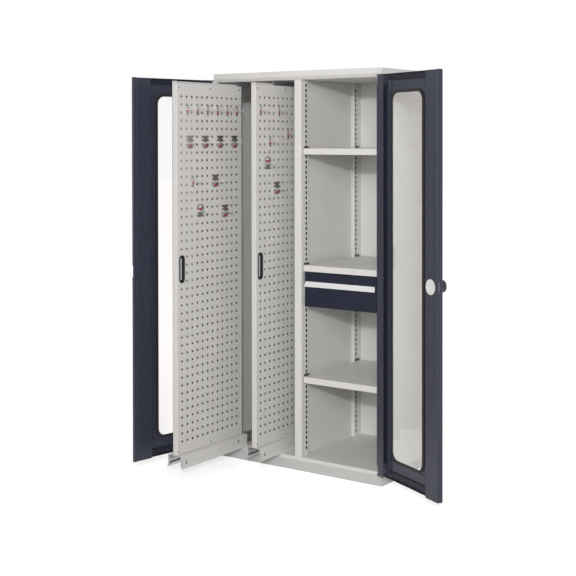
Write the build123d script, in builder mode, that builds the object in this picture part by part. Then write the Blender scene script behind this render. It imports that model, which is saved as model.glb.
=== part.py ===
from build123d import *
import os
from math import cos, radians, sin

os.makedirs("parts", exist_ok=True)

# ---------------------------------------------------------------------------
# Driving dimensions, in millimetres.  Origin: on the ground, in the middle of
# the carcass.  X to the right, Y to the back, Z up.
# ---------------------------------------------------------------------------
WIDTH = 1000
BODY_DEPTH = 570
HEIGHT = 1950
SHEET = 1.5
RUN = 0.4  # running clearance of every slide
TOUCH = 0.3  # clearance between round faces that only stand side by side

LID_HEIGHT = 28
LID_RADIUS = 3
LID_EDGE = 1.5
PLINTH_HEIGHT = 49
PLINTH_SHEET = 2
PLINTH_FOOT = 25
FLOOR_LIP = 18
CEILING_LIP = 15
STILE_WIDTH = 22
STILE_RETURN = 20
BACK_RETURN = 20
BACK_RECESS = 21

POST_WIDTH = 40
POST_OFFSET = 5  # left side of the divider posts, right of the middle
POST_DEPTH = 63
UPRIGHT_THICKNESS = 20.5
UPRIGHT_WIDTH = 46
UPRIGHT_SETBACK = 21

SHELF_TOPS = {"upper": 1573, "middle": 1005, "lower": 460}
SHELF_THICKNESS = 30
SHELF_SETBACK = 8
SHELF_BACK_GAP = 10
SHELF_GAP = 8
SHELF_LIP = 14
CLIP_THICKNESS = 2
CLIP_WIDTH = 42
CLIP_HEIGHT = 41
CLIP_TONGUE = 18
CLIP_INSET = 23  # of a clip's edge behind the front of the carcass, and of the rear posts
REAR_CLIP_INSET = 4

# lipped C rails: width, height, wall and lip
GUIDE_RAIL = (36, 10, 1.5, 6)  # on edge, inside the housing of a panel
TOP_RAIL = (36, 8, 1.2, 5)  # on edge, inside the top of a panel
DRAWER_RAIL = (40, 12, 1.5, 6)  # on edge, beside the drawer
RAIL_GAP = 2
GUIDE_WEB = 12
TOP_WEB = 10
DRAWER_WEB = 10
GUIDE_LIFT = 9.5  # lower edge of a guide above that of its housing
GUIDE_FOOT = 20  # width of the foot that carries a fixed guide
TOP_GUIDE_DROP = 21  # middle of an upper guide under the top of its panel
NOTCH_GAP = 5  # under the upper guide, where the back of the panel lets it in
RAIL_START = 12  # behind the front plane
RAIL_LENGTH = 495
MID_LENGTH = 480

PANEL_THICKNESS = 29
PANEL_SHEET = 1.5
PANEL_EDGE_RADIUS = 3
CEILING_SPAN = 25  # from the top of a panel to the ceiling
PANEL_PITCH = 224
PANEL_1_INSET = 153.5  # middle of panel 1 from the left side
PANEL_CLOSED = 10  # front edge of a closed panel, behind the front plane
PANEL_OUT = {"panel_1": 490, "panel_2": 171}
HOLE_PITCH = 38
FIRST_COLUMN = 33
FIRST_ROW_DROP = 62
HOUSING_WIDTH = 80
HOUSING_LIP = 8
HOUSING_HEIGHT = 57.5
HOUSING_LIFT = 1.5
HOUSING_NOSE = 7
HOUSING_TAIL = 10
GRIP_LENGTH = 132
GRIP_WIDTH = 40
GRIP_WALL = 4
GRIP_PROUD = 3
GRIP_DEPTH = 16
GRIP_COLUMN = 0
GRIP_ROW = 21.5

# tool hooks: drop under the middle of the two holes that carry them
HOOK_DROP = {"narrow": 4, "wide": 6}
CARRIER_THICKNESS = 5
# red locks: width, height, place under the middle of the carrier
NARROW_LOCK = (7, 13, 9)
WIDE_LOCK = (20, 9, 20)
HOOK_LOCK_PROUD = 2
PRONG_RADIUS = 2.5
PRONG_LENGTH = 46
PRONG_TIP = 14
PRONG_DROP = {"narrow": 0, "wide": 6}  # under the middle of the carrier

DOOR_MIDDLE_GAP = 10  # free edge of a closed leaf to the middle of the carcass
DOOR_THICKNESS = 28
DOOR_SHEET = 1.2
DOOR_GAP = 2  # closed leaf to the front plane
DOOR_INSET = 10  # hinge edge of a closed leaf to the side of the carcass
DOOR_FOOT_GAP = 11  # lower edge of a leaf above the plinth
DOOR_HEAD_GAP = 5  # upper edge of a leaf under the lid
DOOR_END_FLANGE = 10
HINGE_LIP = 54
PIVOT_OUT = 3  # pivot outside the hinge edge
PIVOT_IN = 13  # pivot behind the inner face
LEFT_OPEN = 102.2
RIGHT_OPEN = 153.46
WINDOW_START = 98
WINDOW_TO_EDGE = 145  # window to the free edge of its leaf
WINDOW_SILL = 96  # window above the lower edge of its leaf
WINDOW_HEAD = 89  # window below the upper edge of its leaf
WINDOW_RADIUS = 38
GASKET_WIDTH = 12
GASKET_HEIGHT = 6
GASKET_BITE = 3
PANE_THICKNESS = 3
RIB_START = 60
RIB_WIDTH = 20
RIB_HEIGHT = 10
CROSS_HEIGHT = 46
CROSS_THICKNESS = 3
LOCK_STILE_WIDTH = 84
LOCK_STILE_INSET = 4  # from the free edge
STRIP_WIDTH = 14
STRIP_THICKNESS = 14

HINGE_CENTRE = 26  # above the lower edge of a leaf and below the upper one
NOTCH_HEIGHT = 40
NOTCH_WIDTH = 8
PIN_RADIUS = 3
PIN_RUN = 0.08
PIN_HEAD = 1  # pin above the leaf's eye
EYE_RADIUS = 5
EYE_HEIGHT = 12
EYE_GAP = 0.5
LEAF_PLATE = 2
LEAF_PLATE_WIDTH = 32
LEAF_PLATE_HEIGHT = 32
BRACKET_PLATE_WIDTH = 20
BRACKET_PLATE_INSET = 1  # plate from the edge of the stile
BRACKET_PLATE_HEIGHT = 24
BRACKET_ARM_WIDTH = 8

LOCK_INSET = 50  # middle of the lock from the free edge
LOCK_Z = 981
COVER_RADIUS = 34
COVER_PROUD = 1.5
KNOB_RADIUS = 27
KNOB_PROUD = 38
SPINDLE_RADIUS = 7
BOLT_HEIGHT = 50
BOLT_THICKNESS = 5
BOLT_T = 12
BOLT_THROW = 18
BOLT_LENGTH = 78
BOLT_SLOT_HEIGHT = 54

DRAWER_HEAD_GAP = 6  # drawer front under its shelf
DRAWER_FRONT_HEIGHT = 164
DRAWER_FRONT_DEPTH = 18
DRAWER_FRONT_GAP = 16
DRAWER_BOX_HEIGHT = 128
DRAWER_BOX_LIFT = 12
DRAWER_BOX_DEPTH = 490
DRAWER_SHEET = 1.2
DRAWER_RAIL_DROP = 89  # middle of the rails under the top of the front
HANDLE_DROP = 42  # top of the handle under that of the front
HANDLE_HEIGHT = 25
HANDLE_PROUD = 8
HANDLE_EDGE = 4
HANDLE_FLANGE = 12
HANDLE_MITRE = 6  # its ends lean in by this much at the top

# ---------------------------------------------------------------------------
# Levels and planes that follow from them
# ---------------------------------------------------------------------------
FRONT = -BODY_DEPTH / 2
BACK = BODY_DEPTH / 2
SIDE = WIDTH / 2
INSIDE = SIDE - SHEET
STILE = SIDE - STILE_WIDTH
BACK_WALL = BACK - BACK_RECESS
CARCASS_TOP = HEIGHT - LID_HEIGHT
FLOOR = PLINTH_HEIGHT + FLOOR_LIP
CEILING = CARCASS_TOP - CEILING_LIP
BAY_HEIGHT = CEILING - FLOOR
POST_RIGHT = POST_OFFSET + POST_WIDTH
POST_MIDDLE = POST_OFFSET + POST_WIDTH / 2
UPRIGHT_FACE = INSIDE - UPRIGHT_THICKNESS
REAR_POST_FRONT = BACK_WALL - POST_DEPTH
SHELF_LEFT = POST_RIGHT + SHELF_GAP
SHELF_RIGHT = UPRIGHT_FACE - SHELF_GAP
SHELF_FRONT = FRONT + SHELF_SETBACK
SHELF_DEPTH = BACK_WALL - SHELF_BACK_GAP - SHELF_FRONT
RAIL_BACK = FRONT + RAIL_START + RAIL_LENGTH
MID_BACK = FRONT + RAIL_START + MID_LENGTH
HOUSING_BOTTOM = FLOOR + HOUSING_LIFT
PANEL_BOTTOM = HOUSING_BOTTOM + HOUSING_HEIGHT
PANEL_TOP = CEILING - CEILING_SPAN
PANEL_HEIGHT = PANEL_TOP - PANEL_BOTTOM
PANEL_X = {"panel_1": PANEL_1_INSET - SIDE, "panel_2": PANEL_1_INSET - SIDE + PANEL_PITCH}
PIVOT_X = SIDE - DOOR_INSET + PIVOT_OUT
PIVOT_Y = FRONT - DOOR_GAP - PIVOT_IN
DOOR_WIDTH = SIDE - DOOR_INSET - DOOR_MIDDLE_GAP
DOOR_BOTTOM = PLINTH_HEIGHT + DOOR_FOOT_GAP
DOOR_TOP = CARCASS_TOP - DOOR_HEAD_GAP
DOOR_HEIGHT = DOOR_TOP - DOOR_BOTTOM
WINDOW_WIDTH = DOOR_WIDTH - WINDOW_START - WINDOW_TO_EDGE
WINDOW_BOTTOM = DOOR_BOTTOM + WINDOW_SILL
WINDOW_TOP = DOOR_TOP - WINDOW_HEAD
LOCK_STILE_END = DOOR_WIDTH - LOCK_STILE_INSET
LOCK_STILE_START = LOCK_STILE_END - LOCK_STILE_WIDTH
LOCK_S = DOOR_WIDTH - LOCK_INSET
HINGE_LEVELS = (DOOR_BOTTOM + HINGE_CENTRE, DOOR_TOP - HINGE_CENTRE)
DRAWER_FRONT_TOP = SHELF_TOPS["middle"] - SHELF_THICKNESS - DRAWER_HEAD_GAP
DRAWER_RAIL_Z = DRAWER_FRONT_TOP - DRAWER_RAIL_DROP
HANDLE_TOP = DRAWER_FRONT_TOP - HANDLE_DROP


# ---------------------------------------------------------------------------
# Shared forms
# ---------------------------------------------------------------------------
def save(builder, name):
    """Label a finished piece and write it under its own name."""
    builder.part.label = name
    export_step(builder.part, f"parts/{name}.step")


def folded(points, thickness, side=Side.LEFT):
    """Profile of a folded sheet: its outer line, thickened to one side."""
    with BuildSketch() as profile:
        with BuildLine():
            Polyline(*points)
            offset(amount=thickness, side=side, kind=Kind.INTERSECTION)
        make_face()
    return profile.sketch


def channel(width, height, wall, lip):
    """Lipped C profile, open at the top, with the underside of its web at y = 0."""
    with BuildSketch() as profile:
        with Locations((0, height / 2)):
            Rectangle(width, height)
            Rectangle(width - 2 * wall, height - 2 * wall, mode=Mode.SUBTRACT)
        with Locations((0, height - wall / 2)):
            Rectangle(width - 2 * wall - 2 * lip, wall, mode=Mode.SUBTRACT)
    return profile.sketch


def runner(width, height, wall, span, web):
    """I profile that runs in two channels which face each other across a span."""
    flange_width = width - 2 * wall - 2 * RUN
    flange_height = height - 2 * wall - 2 * RUN
    with BuildSketch() as profile:
        with Locations((0, height / 2), (0, span - height / 2)):
            Rectangle(flange_width, flange_height)
        with Locations((0, span / 2)):
            Rectangle(web, span - height)
    return profile.sketch


def run_plane(x, z, back, opening):
    """Plane across a rail, seen from the front, with its y axis to the open side."""
    x_dirs = {"up": (1, 0, 0), "down": (-1, 0, 0), "right": (0, 0, -1), "left": (0, 0, 1)}
    return Plane(origin=(x, back, z), x_dir=x_dirs[opening], z_dir=(0, -1, 0))


# ---------------------------------------------------------------------------
# Carcass: side panels, lid, ceiling, floor, back, plinth
# ---------------------------------------------------------------------------
with BuildPart() as side_right:
    with BuildSketch(Plane.XY.offset(PLINTH_HEIGHT)):
        add(
            folded(
                [
                    (STILE, FRONT + STILE_RETURN),
                    (STILE, FRONT),
                    (SIDE, FRONT),
                    (SIDE, BACK),
                    (SIDE - BACK_RETURN, BACK),
                ],
                SHEET,
            )
        )
    extrude(amount=CARCASS_TOP - PLINTH_HEIGHT)
save(side_right, "side_right")

with BuildPart() as side_left:
    mirror(side_right.part, about=Plane.YZ)
save(side_left, "side_left")

with BuildPart() as lid:
    with BuildSketch(Plane.XY.offset(CARCASS_TOP)):
        RectangleRounded(WIDTH, BODY_DEPTH, LID_RADIUS)
    extrude(amount=LID_HEIGHT)
    chamfer(lid.edges().group_by(Axis.Z)[-1], length=LID_EDGE)
    with BuildSketch(Plane.XY.offset(CARCASS_TOP + SHEET)):
        Rectangle(WIDTH - 2 * LID_RADIUS, BODY_DEPTH - 2 * LID_RADIUS)
    extrude(amount=LID_HEIGHT - 2 * SHEET, mode=Mode.SUBTRACT)
    with BuildSketch(Plane.XY.offset(CARCASS_TOP)):
        Rectangle(WIDTH - 2 * STILE_WIDTH, BODY_DEPTH - 2 * STILE_RETURN)
    extrude(amount=SHEET, mode=Mode.SUBTRACT)
save(lid, "lid")


def tray_outline():
    """Plan of the floor and the ceiling: full width behind the stile returns."""
    with BuildSketch() as plan:
        with Locations((0, (FRONT + STILE_RETURN + BACK_WALL) / 2)):
            Rectangle(2 * INSIDE, BACK_WALL - FRONT - STILE_RETURN)
        with Locations((0, FRONT + STILE_RETURN / 2)):
            Rectangle(2 * STILE, STILE_RETURN)
    return plan.sketch


with BuildPart() as ceiling_pan:
    with BuildSketch(Plane.XY.offset(CEILING)):
        add(tray_outline())
    extrude(amount=SHEET)
    with BuildSketch(Plane.XY.offset(CEILING)):
        with Locations((0, FRONT + SHEET / 2)):
            Rectangle(2 * STILE, SHEET)
    extrude(amount=CEILING_LIP)
save(ceiling_pan, "ceiling_pan")

with BuildPart() as floor_pan:
    with BuildSketch(Plane.XY.offset(FLOOR - SHEET)):
        add(tray_outline())
    extrude(amount=SHEET)
    with BuildSketch(Plane.XY.offset(PLINTH_HEIGHT)):
        with Locations((0, FRONT + SHEET / 2)):
            Rectangle(2 * STILE, SHEET)
    extrude(amount=FLOOR_LIP)
save(floor_pan, "floor_pan")

with BuildPart() as back_panel:
    with BuildSketch(Plane.XY.offset(PLINTH_HEIGHT)):
        add(
            folded(
                [
                    (-INSIDE, BACK - SHEET),
                    (-INSIDE, BACK_WALL),
                    (INSIDE, BACK_WALL),
                    (INSIDE, BACK - SHEET),
                ],
                SHEET,
            )
        )
    extrude(amount=CARCASS_TOP - PLINTH_HEIGHT)
save(back_panel, "back_panel")

with BuildPart() as plinth:
    with BuildSketch():
        Rectangle(WIDTH, BODY_DEPTH)
        Rectangle(WIDTH - 2 * PLINTH_SHEET, BODY_DEPTH - 2 * PLINTH_SHEET, mode=Mode.SUBTRACT)
    extrude(amount=PLINTH_HEIGHT)
    with BuildSketch():
        Rectangle(WIDTH, BODY_DEPTH)
        Rectangle(WIDTH - 2 * PLINTH_FOOT, BODY_DEPTH - 2 * PLINTH_FOOT, mode=Mode.SUBTRACT)
    extrude(amount=PLINTH_SHEET)
save(plinth, "plinth")

# ---------------------------------------------------------------------------
# Divider between the panel bay and the shelf bay, and the shelf uprights
# ---------------------------------------------------------------------------
with BuildPart() as divider_front_post:
    with BuildSketch(Plane.XY.offset(FLOOR)):
        add(
            folded(
                [
                    (POST_OFFSET, FRONT + POST_DEPTH),
                    (POST_OFFSET, FRONT),
                    (POST_RIGHT, FRONT),
                    (POST_RIGHT, FRONT + POST_DEPTH),
                ],
                SHEET,
            )
        )
    extrude(amount=BAY_HEIGHT)
save(divider_front_post, "divider_front_post")

with BuildPart() as divider_rear_post:
    with BuildSketch(Plane.XY.offset(FLOOR)):
        add(
            folded(
                [
                    (POST_OFFSET, BACK_WALL),
                    (POST_OFFSET, REAR_POST_FRONT),
                    (POST_RIGHT, REAR_POST_FRONT),
                    (POST_RIGHT, BACK_WALL),
                ],
                SHEET,
            )
        )
    extrude(amount=BAY_HEIGHT)
save(divider_rear_post, "divider_rear_post")

with BuildPart() as divider_panel:
    with BuildSketch(Plane.XY.offset(FLOOR)):
        with Locations((POST_MIDDLE, (FRONT + SHEET + REAR_POST_FRONT) / 2)):
            Rectangle(SHEET, REAR_POST_FRONT - FRONT - SHEET)
    extrude(amount=BAY_HEIGHT)
save(divider_panel, "divider_panel")

with BuildPart() as right_uprights:
    for front, back in (
        (FRONT + UPRIGHT_SETBACK, FRONT + UPRIGHT_SETBACK + UPRIGHT_WIDTH),
        (REAR_POST_FRONT, BACK_WALL),
    ):
        with BuildSketch(Plane.XY.offset(FLOOR)):
            add(
                folded(
                    [(INSIDE, front), (UPRIGHT_FACE, front), (UPRIGHT_FACE, back), (INSIDE, back)],
                    SHEET,
                    Side.RIGHT,
                )
            )
    extrude(amount=BAY_HEIGHT)
save(right_uprights, "right_uprights")

# ---------------------------------------------------------------------------
# Shelves: steel trays, open underneath, on clips hung in the uprights
# ---------------------------------------------------------------------------
SHELF_WIDTH = SHELF_RIGHT - SHELF_LEFT
SHELF_CENTRE = ((SHELF_LEFT + SHELF_RIGHT) / 2, SHELF_FRONT + SHELF_DEPTH / 2)

for level, top in SHELF_TOPS.items():
    with BuildPart() as shelf:
        with BuildSketch(Plane.XY.offset(top - SHELF_THICKNESS)):
            with Locations(SHELF_CENTRE):
                Rectangle(SHELF_WIDTH, SHELF_DEPTH)
        extrude(amount=SHELF_THICKNESS)
        with BuildSketch(Plane.XY.offset(top - SHELF_THICKNESS + SHEET)):
            with Locations(SHELF_CENTRE):
                Rectangle(SHELF_WIDTH - 2 * SHEET, SHELF_DEPTH - 2 * SHEET)
        extrude(amount=SHELF_THICKNESS - 2 * SHEET, mode=Mode.SUBTRACT)
        with BuildSketch(Plane.XY.offset(top - SHELF_THICKNESS)):
            with Locations(SHELF_CENTRE):
                Rectangle(SHELF_WIDTH - 2 * SHELF_LIP, SHELF_DEPTH - 2 * SHELF_LIP)
        extrude(amount=SHEET, mode=Mode.SUBTRACT)
    save(shelf, f"shelf_{level}")

with BuildPart() as shelf_clips:
    for top in SHELF_TOPS.values():
        seat = top - SHELF_THICKNESS
        for face, inwards in ((POST_RIGHT, 1), (UPRIGHT_FACE, -1)):
            for y in (FRONT + CLIP_INSET, REAR_POST_FRONT + REAR_CLIP_INSET):
                with BuildSketch(Plane(origin=(face, y, seat), x_dir=(1, 0, 0), z_dir=(0, -1, 0))):
                    with Locations((inwards * CLIP_THICKNESS / 2, CLIP_HEIGHT / 2 - CLIP_THICKNESS)):
                        Rectangle(CLIP_THICKNESS, CLIP_HEIGHT)
                    with Locations((inwards * CLIP_TONGUE / 2, -CLIP_THICKNESS / 2)):
                        Rectangle(CLIP_TONGUE, CLIP_THICKNESS)
                extrude(amount=-CLIP_WIDTH)
save(shelf_clips, "shelf_clips")

# ---------------------------------------------------------------------------
# Telescopic guides of the pull-out panels: fixed, middle and moving rails
# ---------------------------------------------------------------------------
GUIDE_HEIGHT, GUIDE_DEPTH, GUIDE_WALL, GUIDE_LIP = GUIDE_RAIL
TOP_HEIGHT, TOP_DEPTH, TOP_WALL, TOP_LIP = TOP_RAIL
GUIDE_SPAN = 2 * GUIDE_DEPTH + RAIL_GAP
TOP_SPAN = 2 * TOP_DEPTH + RAIL_GAP
GUIDE_Z = HOUSING_BOTTOM + GUIDE_LIFT + GUIDE_HEIGHT / 2
TOP_GUIDE_Z = PANEL_TOP - TOP_GUIDE_DROP
# seats of the moving guides, from the middle of their panel: the lower one is fixed to the
# left wall of the housing, the upper one to the right sheet, on their inner faces
GUIDE_SEAT = SHEET - HOUSING_WIDTH / 2
TOP_SEAT = PANEL_THICKNESS / 2 - PANEL_SHEET
TOP_NOTCH = TOP_GUIDE_DROP + TOP_HEIGHT / 2 + NOTCH_GAP

# fixed guides: channels on edge, each on a foot that is folded from its back; the lower
# ones stand on the floor, and the upper ones hang from the ceiling
with BuildPart() as floor_slide_rails:
    for x in PANEL_X.values():
        back_of_guide = x + GUIDE_SEAT + GUIDE_SPAN
        with BuildSketch(run_plane(back_of_guide, GUIDE_Z, RAIL_BACK, "left")):
            add(channel(*GUIDE_RAIL))
        with BuildSketch(run_plane(back_of_guide, 0, RAIL_BACK, "up")):
            add(
                folded(
                    [(0, GUIDE_Z + GUIDE_HEIGHT / 2), (0, FLOOR), (GUIDE_FOOT, FLOOR)],
                    SHEET,
                )
            )
    extrude(amount=RAIL_LENGTH)
save(floor_slide_rails, "floor_slide_rails")

with BuildPart() as ceiling_slide_rails:
    for x in PANEL_X.values():
        back_of_guide = x + TOP_SEAT - TOP_SPAN
        with BuildSketch(run_plane(back_of_guide, TOP_GUIDE_Z, RAIL_BACK, "right")):
            add(channel(*TOP_RAIL))
        with BuildSketch(run_plane(back_of_guide, 0, RAIL_BACK, "up")):
            add(
                folded(
                    [(0, TOP_GUIDE_Z - TOP_HEIGHT / 2), (0, CEILING), (-GUIDE_FOOT, CEILING)],
                    SHEET,
                )
            )
    extrude(amount=RAIL_LENGTH)
save(ceiling_slide_rails, "ceiling_slide_rails")

# ---------------------------------------------------------------------------
# Pull-out perforated panels with their housings, guides, grips and hooks
# ---------------------------------------------------------------------------
PANEL_DEPTH = RAIL_LENGTH

# hooks by panel: (column, row) of the upper left hole that each one uses
NARROW_HOOKS = {
    "panel_1": [(1, 1), (3, 1), (5, 1), (7, 1), (9, 1), (11, 1), (2, 10)],
    "panel_2": [(0, 1), (4, 1), (6, 4), (2, 5)],
}
WIDE_HOOKS = {
    "panel_1": [(1, 5), (4, 5), (7, 5), (10, 5), (6, 10), (8, 14)],
    "panel_2": [(3, 11)],
}
INVERTED_HOOKS = {"panel_1": [(3, 14)], "panel_2": [(1, 8)]}


def grid_point(front, column, row):
    """Centre of a hole in the grid, in the plane of the sheet: y, then z."""
    return Vector(
        front + FIRST_COLUMN + column * HOLE_PITCH,
        PANEL_TOP - FIRST_ROW_DROP - row * HOLE_PITCH,
    )


def carrier(outline, hole):
    """Plate of a tool hook, from the right halves of its outline and of its hole."""
    with BuildSketch() as plate:
        for half, mode in ((outline, Mode.ADD), (hole, Mode.SUBTRACT)):
            with BuildLine():
                Polyline(*half, *[(-y, z) for y, z in reversed(half)], close=True)
            make_face(mode=mode)
    return plate.sketch


# a narrow hook is a pointed ring above an oval, a wide one a cross above an open cup
NARROW_CARRIER = carrier(
    [(2, 27), (9, 17), (6, 7), (3, 4), (3, 0), (9, -5), (9, -19), (4, -27)],
    [(1, 21), (5, 16), (3, 11)],
)
WIDE_CARRIER = carrier(
    [
        (10, 30.5),
        (27.5, 30.5),
        (19, 16),
        (27.5, 4),
        (4, 2),
        (4, -2),
        (27.5, -4),
        (27.5, -18),
        (19, -30.5),
    ],
    [(22, -9), (22, -16), (16, -25)],
)


for name, x in PANEL_X.items():
    out = PANEL_OUT[name]
    front = FRONT + PANEL_CLOSED - out
    left = x - PANEL_THICKNESS / 2
    right = x + PANEL_THICKNESS / 2
    rail_back = RAIL_BACK - out
    mid_back = MID_BACK - out / 2
    centre = Vector(front + PANEL_DEPTH / 2, (PANEL_BOTTOM + PANEL_TOP) / 2)
    grip_centre = grid_point(front, GRIP_COLUMN, GRIP_ROW)
    right_face = Plane(origin=(right, 0, 0), x_dir=(0, 1, 0), z_dir=(1, 0, 0))

    # right sheet: a pan with flanges in front, at the back and below; the back one stops
    # short of the open top, which runs over the upper guide
    with BuildPart() as right_sheet:
        with BuildSketch(right_face):
            with Locations(centre):
                Rectangle(PANEL_DEPTH, PANEL_HEIGHT)
        extrude(amount=-(PANEL_THICKNESS - PANEL_SHEET))
        fillet(right_sheet.edges().filter_by(Axis.Z).group_by(Axis.X)[-1], radius=PANEL_EDGE_RADIUS)
        with BuildSketch(right_face.offset(-PANEL_SHEET)):
            with Locations(centre + Vector(0, PANEL_SHEET / 2)):
                Rectangle(PANEL_DEPTH - 2 * PANEL_SHEET, PANEL_HEIGHT - PANEL_SHEET)
            with Locations((front + PANEL_DEPTH, PANEL_TOP)):
                Rectangle(2 * PANEL_SHEET, 2 * TOP_NOTCH)
        extrude(amount=-PANEL_THICKNESS, mode=Mode.SUBTRACT)
        with BuildSketch(right_face):
            with Locations(grip_centre):
                SlotOverall(GRIP_LENGTH - 2 * GRIP_WALL, GRIP_WIDTH - 2 * GRIP_WALL, rotation=90)
        extrude(amount=-PANEL_SHEET, mode=Mode.SUBTRACT)
    save(right_sheet, f"{name}_right_sheet")

    # left sheet: a flat cover
    with BuildPart() as left_sheet:
        with BuildSketch(right_face.offset(PANEL_SHEET - PANEL_THICKNESS)):
            with Locations(centre):
                Rectangle(PANEL_DEPTH, PANEL_HEIGHT)
        extrude(amount=-PANEL_SHEET)
    save(left_sheet, f"{name}_left_sheet")

    # housing under the panel: an upturned trough with flared feet
    with BuildPart() as housing:
        foot = HOUSING_WIDTH / 2 + HOUSING_LIP
        with BuildSketch(run_plane(x, HOUSING_BOTTOM, front + PANEL_DEPTH + HOUSING_TAIL, "up")):
            add(
                folded(
                    [
                        (-foot, 0),
                        (-HOUSING_WIDTH / 2, 0),
                        (-HOUSING_WIDTH / 2, HOUSING_HEIGHT),
                        (HOUSING_WIDTH / 2, HOUSING_HEIGHT),
                        (HOUSING_WIDTH / 2, 0),
                        (foot, 0),
                    ],
                    SHEET,
                    Side.RIGHT,
                )
            )
        extrude(amount=PANEL_DEPTH + HOUSING_TAIL + HOUSING_NOSE)
    save(housing, f"{name}_housing")

    # moving rails, on the left wall of the housing and inside the panel's top
    with BuildPart() as slides:
        with BuildSketch(run_plane(x + GUIDE_SEAT, GUIDE_Z, rail_back, "right")):
            add(channel(*GUIDE_RAIL))
        with BuildSketch(run_plane(x + TOP_SEAT, TOP_GUIDE_Z, rail_back, "left")):
            add(channel(*TOP_RAIL))
        extrude(amount=RAIL_LENGTH)
    save(slides, f"{name}_slides")

    # middle rails
    with BuildPart() as mid_slides:
        with BuildSketch(run_plane(x + GUIDE_SEAT, GUIDE_Z, mid_back, "right")):
            add(runner(GUIDE_HEIGHT, GUIDE_DEPTH, GUIDE_WALL, GUIDE_SPAN, GUIDE_WEB))
        with BuildSketch(run_plane(x + TOP_SEAT, TOP_GUIDE_Z, mid_back, "left")):
            add(runner(TOP_HEIGHT, TOP_DEPTH, TOP_WALL, TOP_SPAN, TOP_WEB))
        extrude(amount=MID_LENGTH)
    save(mid_slides, f"{name}_mid_slides")

    # recessed grip: a stadium cup with a proud rim
    with BuildPart() as grip:
        with BuildSketch(right_face):
            with Locations(grip_centre):
                SlotOverall(GRIP_LENGTH, GRIP_WIDTH, rotation=90)
        extrude(amount=GRIP_PROUD)
        with BuildSketch(right_face):
            with Locations(grip_centre):
                SlotOverall(
                    GRIP_LENGTH - 2 * GRIP_WALL - 2 * TOUCH,
                    GRIP_WIDTH - 2 * GRIP_WALL - 2 * TOUCH,
                    rotation=90,
                )
        extrude(amount=-GRIP_DEPTH)
        with BuildSketch(right_face.offset(GRIP_PROUD)):
            with Locations(grip_centre):
                SlotOverall(GRIP_LENGTH - 4 * GRIP_WALL, GRIP_WIDTH - 4 * GRIP_WALL, rotation=90)
        extrude(amount=-(GRIP_DEPTH + GRIP_PROUD - GRIP_WALL), mode=Mode.SUBTRACT)
    save(grip, f"{name}_grip")

    # tool hooks: flat carriers on the sheet, red locks on them, and prongs of six-sided
    # wire that go straight out and turn up at the tip; an inverted hook hangs upside down
    kinds = (
        (NARROW_HOOKS[name], 0, 1, HOOK_DROP["narrow"], NARROW_CARRIER, NARROW_LOCK, PRONG_DROP["narrow"]),
        (WIDE_HOOKS[name], 0.5, 1, HOOK_DROP["wide"], WIDE_CARRIER, WIDE_LOCK, PRONG_DROP["wide"]),
        (INVERTED_HOOKS[name], 0.5, -1, HOOK_DROP["wide"], WIDE_CARRIER, WIDE_LOCK, PRONG_DROP["wide"]),
    )
    hooks = [
        (grid_point(front, column + shift, row + 0.5) - Vector(0, drop), up, plate, lock, prong_drop)
        for places, shift, up, drop, plate, lock, prong_drop in kinds
        for column, row in places
    ]
    with BuildPart() as carriers:
        with BuildSketch(right_face):
            for middle, up, plate, _, _ in hooks:
                with Locations(Location(middle, 90 - 90 * up)):
                    add(plate)
        extrude(amount=CARRIER_THICKNESS)
    save(carriers, f"{name}_hook_carriers")

    with BuildPart() as locks:
        with BuildSketch(right_face.offset(CARRIER_THICKNESS)):
            for middle, up, _, (width, height, under), _ in hooks:
                with Locations(middle - Vector(0, up * under)):
                    Rectangle(width, height)
        extrude(amount=HOOK_LOCK_PROUD)
    save(locks, f"{name}_hook_locks")

    with BuildPart() as prongs:
        tip = right + CARRIER_THICKNESS + PRONG_LENGTH - PRONG_RADIUS
        for middle, up, _, _, under in hooks:
            root = middle - Vector(0, up * under)
            with BuildSketch(right_face.offset(CARRIER_THICKNESS)):
                with Locations(root):
                    RegularPolygon(PRONG_RADIUS, 6)
            extrude(amount=PRONG_LENGTH)
            with BuildSketch(Plane.XY.offset(root.Y)):
                with Locations((tip, root.X)):
                    RegularPolygon(PRONG_RADIUS, 6)
            extrude(amount=PRONG_TIP)
    save(prongs, f"{name}_hook_prongs")


# ---------------------------------------------------------------------------
# Doors, built in a frame of their own: s along the leaf from its hinge edge,
# t through it from the inner face to the outer one
# ---------------------------------------------------------------------------
def window_outline(grow):
    """Rounded outline of the window, grown all round, in the active upright sketch."""
    with Locations((WINDOW_START + WINDOW_WIDTH / 2 + PIVOT_OUT, (WINDOW_BOTTOM + WINDOW_TOP) / 2)):
        RectangleRounded(
            WINDOW_WIDTH + 2 * grow, WINDOW_TOP - WINDOW_BOTTOM + 2 * grow, WINDOW_RADIUS + grow
        )


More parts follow.
